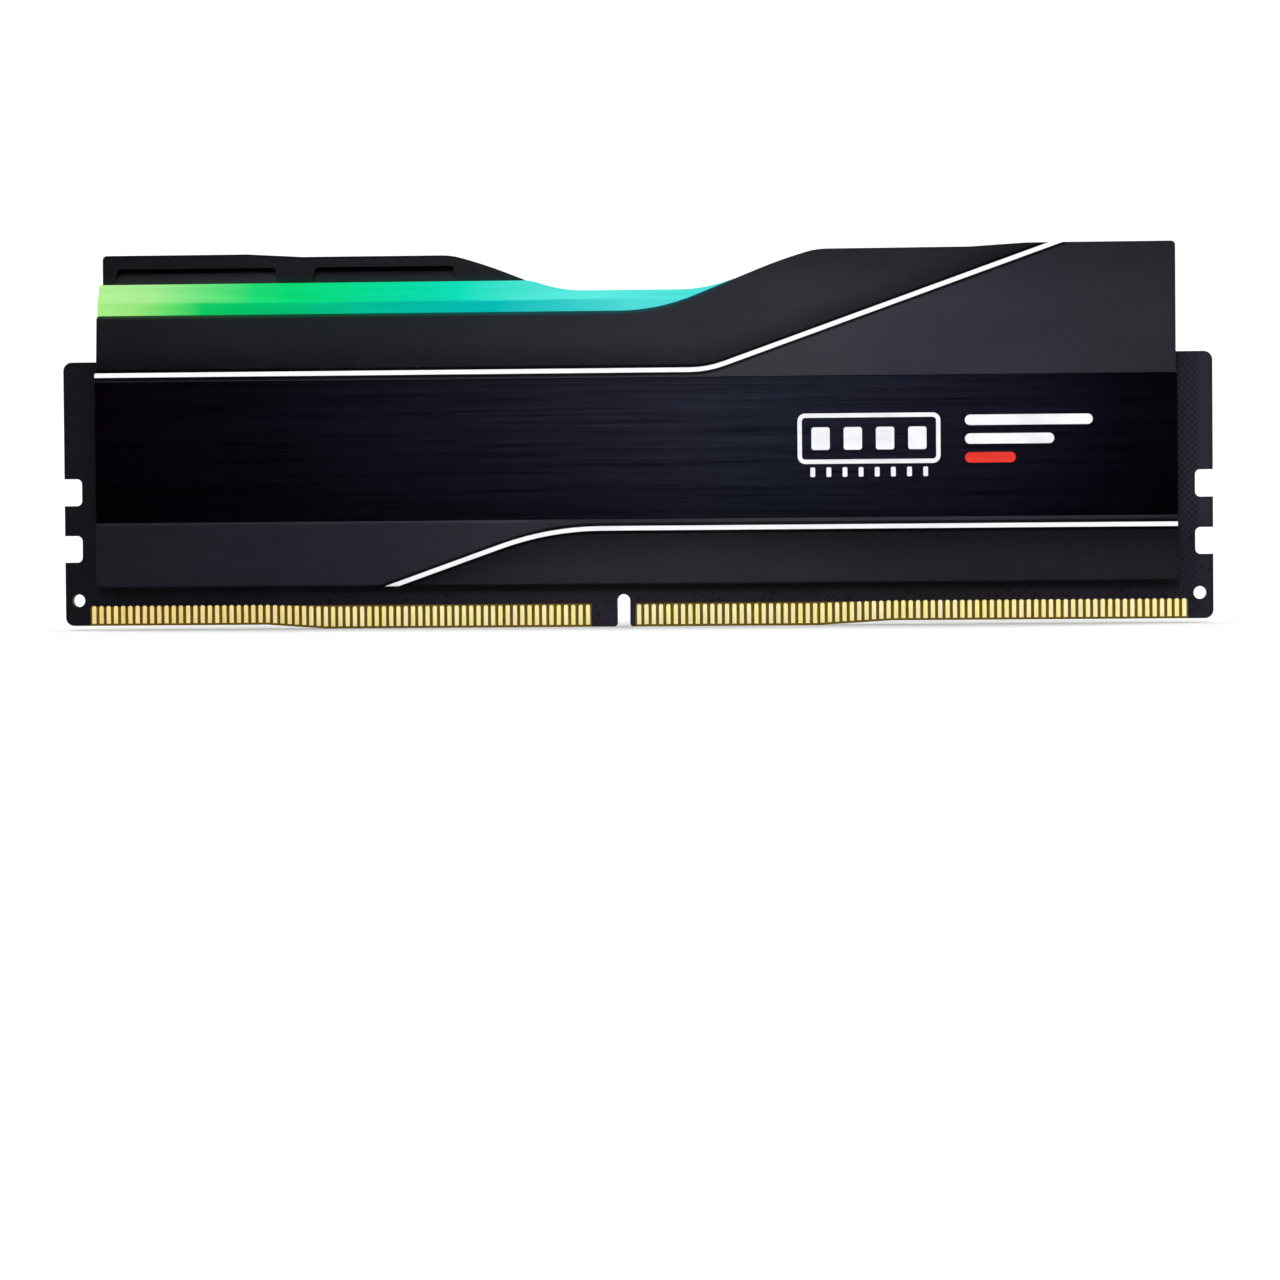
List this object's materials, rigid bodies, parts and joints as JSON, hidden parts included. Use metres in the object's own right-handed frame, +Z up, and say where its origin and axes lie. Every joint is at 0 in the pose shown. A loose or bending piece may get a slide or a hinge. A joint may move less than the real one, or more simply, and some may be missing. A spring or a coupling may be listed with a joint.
{
  "type": "ram module",
  "caption": "Desktop memory module: a slim notched board with a gold contact edge between two dark metal heat spreaders with white stripes, and a lit bar along the top.",
  "frame": {"origin": "middle of the contact edge: centre of the length, centre of the board's thickness, lowest point of the edge", "axes": "+X along the length, the front faces -Y, +Z up and away from the socket"},
  "size_m": [0.1334, 0.008, 0.0437],
  "materials": {
    "board": "matte black solder mask over a woven glass laminate",
    "contact": "gold plated, polished",
    "spreader": "fine blasted aluminium, anodised dark grey",
    "strip": "anodised black, brushed along its length",
    "stripe": "white enamel",
    "white_ink": "satin white pad-printed ink",
    "red_ink": "satin red pad-printed ink",
    "light_bar": "frosted, lit from below green to cyan",
    "package": "moulded epoxy",
    "inductor": "moulded ferrite powder",
    "led": "white lamp housing with a clear lens",
    "capacitor": "tan ceramic with tinned ends",
    "resistor": "black glaze with tinned ends",
    "thermal_pad": "soft grey filled silicone",
    "foam": "fine closed-cell foam with adhesive faces"
  },
  "bodies": {
    "root": {"pcb": "board", "front_contacts_left": "contact", "front_contacts_right": "contact", "front_heat_spreader": "spreader", "front_upper_stripe": "stripe", "front_lower_stripe": "stripe", "front_brushed_strip": "strip", "front_print": "white_ink", "front_accent_print": "red_ink", "back_contacts_left": "contact", "back_contacts_right": "contact", "back_heat_spreader": "spreader", "back_upper_stripe": "stripe", "back_lower_stripe": "stripe", "back_brushed_strip": "strip", "back_print": "white_ink", "back_accent_print": "red_ink", "light_bar": "light_bar", "memory_chip_1": "package", "memory_chip_2": "package", "memory_chip_3": "package", "memory_chip_4": "package", "memory_chip_5": "package", "memory_chip_6": "package", "memory_chip_7": "package", "memory_chip_8": "package", "power_chip": "package", "hub_chip": "package", "light_controller": "package", "inductor_1": "inductor", "inductor_2": "inductor", "inductor_3": "inductor", "led_1": "led", "led_2": "led", "led_3": "led", "led_4": "led", "led_5": "led", "led_6": "led", "led_7": "led", "led_8": "led", "led_9": "led", "led_10": "led", "capacitors": "capacitor", "resistors": "resistor", "left_thermal_pad": "thermal_pad", "right_thermal_pad": "thermal_pad", "power_thermal_pad": "thermal_pad", "back_foam_pad": "foam"}
  },
  "joints": []
}
